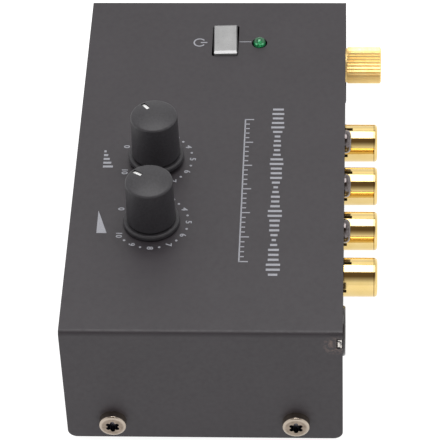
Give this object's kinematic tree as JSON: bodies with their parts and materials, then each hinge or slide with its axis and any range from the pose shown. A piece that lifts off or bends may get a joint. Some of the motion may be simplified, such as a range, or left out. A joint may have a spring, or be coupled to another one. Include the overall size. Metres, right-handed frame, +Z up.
{
  "type": "phono preamp",
  "caption": "Small phono preamplifier: folded steel box with level and volume knobs, push button and lamp on its lid, phono sockets, earth terminal and DC inlet at the back",
  "frame": {"origin": "on the table, under the middle of the object's bounding box", "axes": "+X along the case, toward the DC inlet's end; +Y out of the back wall with the phono sockets; +Z up, out of the lid with the knobs"},
  "size_m": [0.109, 0.0666, 0.0484],
  "materials": {
    "case_paint": "satin dark grey powder coat",
    "chassis_paint": "satin dark grey powder coat, bare at the locating tabs",
    "foot_rubber": "matt moulded",
    "bronze_steel": "bronze-tinted passivation",
    "black_nickel": "dark polished black nickel plate",
    "zinc_steel": "bright zinc plate",
    "nickel_brass": "nickel-plated brass",
    "circuit_laminate": "green solder mask on glass laminate",
    "black_moulding": "satin moulded",
    "gold_plate": "gold-plated, polished",
    "white_moulding": "smooth moulded",
    "red_moulding": "smooth moulded",
    "tinned_metal": "bright tin",
    "red_wire": "insulated wire",
    "black_wire": "insulated wire",
    "green_wire": "insulated wire",
    "cast_zinc": "die-cast, dull",
    "track_laminate": "brown phenolic with a carbon track",
    "knob_coating": "soft-touch coated",
    "pointer_white": "white enamel",
    "plunger_moulding": "smooth moulded",
    "button_silver": "silver-grey lacquer",
    "green_lens": "translucent green, part frosted",
    "blue_sleeving": "shrink sleeve over aluminium",
    "black_sleeving": "shrink sleeve over aluminium",
    "red_dip_coat": "epoxy dip",
    "resistor_lacquer": "lacquer with colour bands"
  },
  "bodies": {
    "case": {"top_cover": "case_paint", "chassis": "chassis_paint", "rubber_feet": "foot_rubber", "end_screws": "bronze_steel", "circuit_board": "circuit_laminate", "board_standoffs": "nickel_brass", "board_screws": "zinc_steel", "phono_socket_block": "black_moulding", "phono_in_left_sleeve": "gold_plate", "phono_in_right_sleeve": "gold_plate", "line_out_left_sleeve": "gold_plate", "line_out_right_sleeve": "gold_plate", "left_insulators": "white_moulding", "right_insulators": "red_moulding", "centre_contacts": "gold_plate", "rear_screws": "black_nickel", "earth_nut": "zinc_steel", "earth_lug": "tinned_metal", "earth_wire": "green_wire", "dc_inlet_body": "black_moulding", "dc_inlet_pin": "tinned_metal", "dc_inlet_nut": "zinc_steel", "dc_inlet_tag": "tinned_metal", "dc_positive_wire": "red_wire", "dc_negative_wire": "black_wire", "level_pot_body": "cast_zinc", "volume_pot_body": "cast_zinc", "pot_tracks": "track_laminate", "power_switch_body": "black_moulding", "power_switch_spring": "zinc_steel", "lamp_lens": "green_lens", "lamp_post": "black_moulding", "lamp_legs": "tinned_metal", "filter_capacitors": "blue_sleeving", "coupling_capacitors": "black_sleeving", "film_capacitors": "red_dip_coat", "resistors": "resistor_lacquer", "chip_sockets": "black_moulding", "amplifier_chips": "black_moulding", "voltage_regulator": "black_moulding", "rectifier": "black_moulding"},
    "level_control": {"level_shaft": "nickel_brass", "level_knob": "knob_coating", "level_pointer": "pointer_white"},
    "volume_control": {"volume_shaft": "nickel_brass", "volume_knob": "knob_coating", "volume_pointer": "pointer_white"},
    "button": {"power_button": "button_silver", "power_switch_plunger": "plunger_moulding"},
    "terminal_washer": {"earth_washer": "gold_plate"},
    "terminal_screw": {"earth_thumb_screw": "gold_plate"}
  },
  "joints": [
    {"name": "level_turn", "type": "hinge", "parent": "case", "child": "level_control", "pos_m": [0.0007, -0.01575, 0.03], "axis": [0, 0, -1], "range_deg": [-25, 275]},
    {"name": "volume_turn", "type": "hinge", "parent": "case", "child": "volume_control", "pos_m": [0.0202, -0.01575, 0.03], "axis": [0, 0, -1], "range_deg": [-9, 291]},
    {"name": "power_press", "type": "slide", "parent": "case", "child": "button", "axis": [0, 0, -1], "range_m": [0, 0.002], "stiffness_N_per_m": 700, "springref_m": -0.0012, "deforming": ["power_switch_spring"]},
    {"name": "earth_screw_travel", "type": "slide", "parent": "case", "child": "terminal_washer", "axis": [0, 1, 0], "range_m": [0, 0.0028]},
    {"name": "earth_screw_turn", "type": "hinge", "parent": "terminal_washer", "child": "terminal_screw", "pos_m": [-0.0432, 0.02895, 0.0233], "axis": [0, 1, 0], "range_deg": [0, 1440]}
  ],
  "couplings": [
    {"joint": "earth_screw_turn", "follows": "earth_screw_travel", "rad_per_m": 8976}
  ]
}
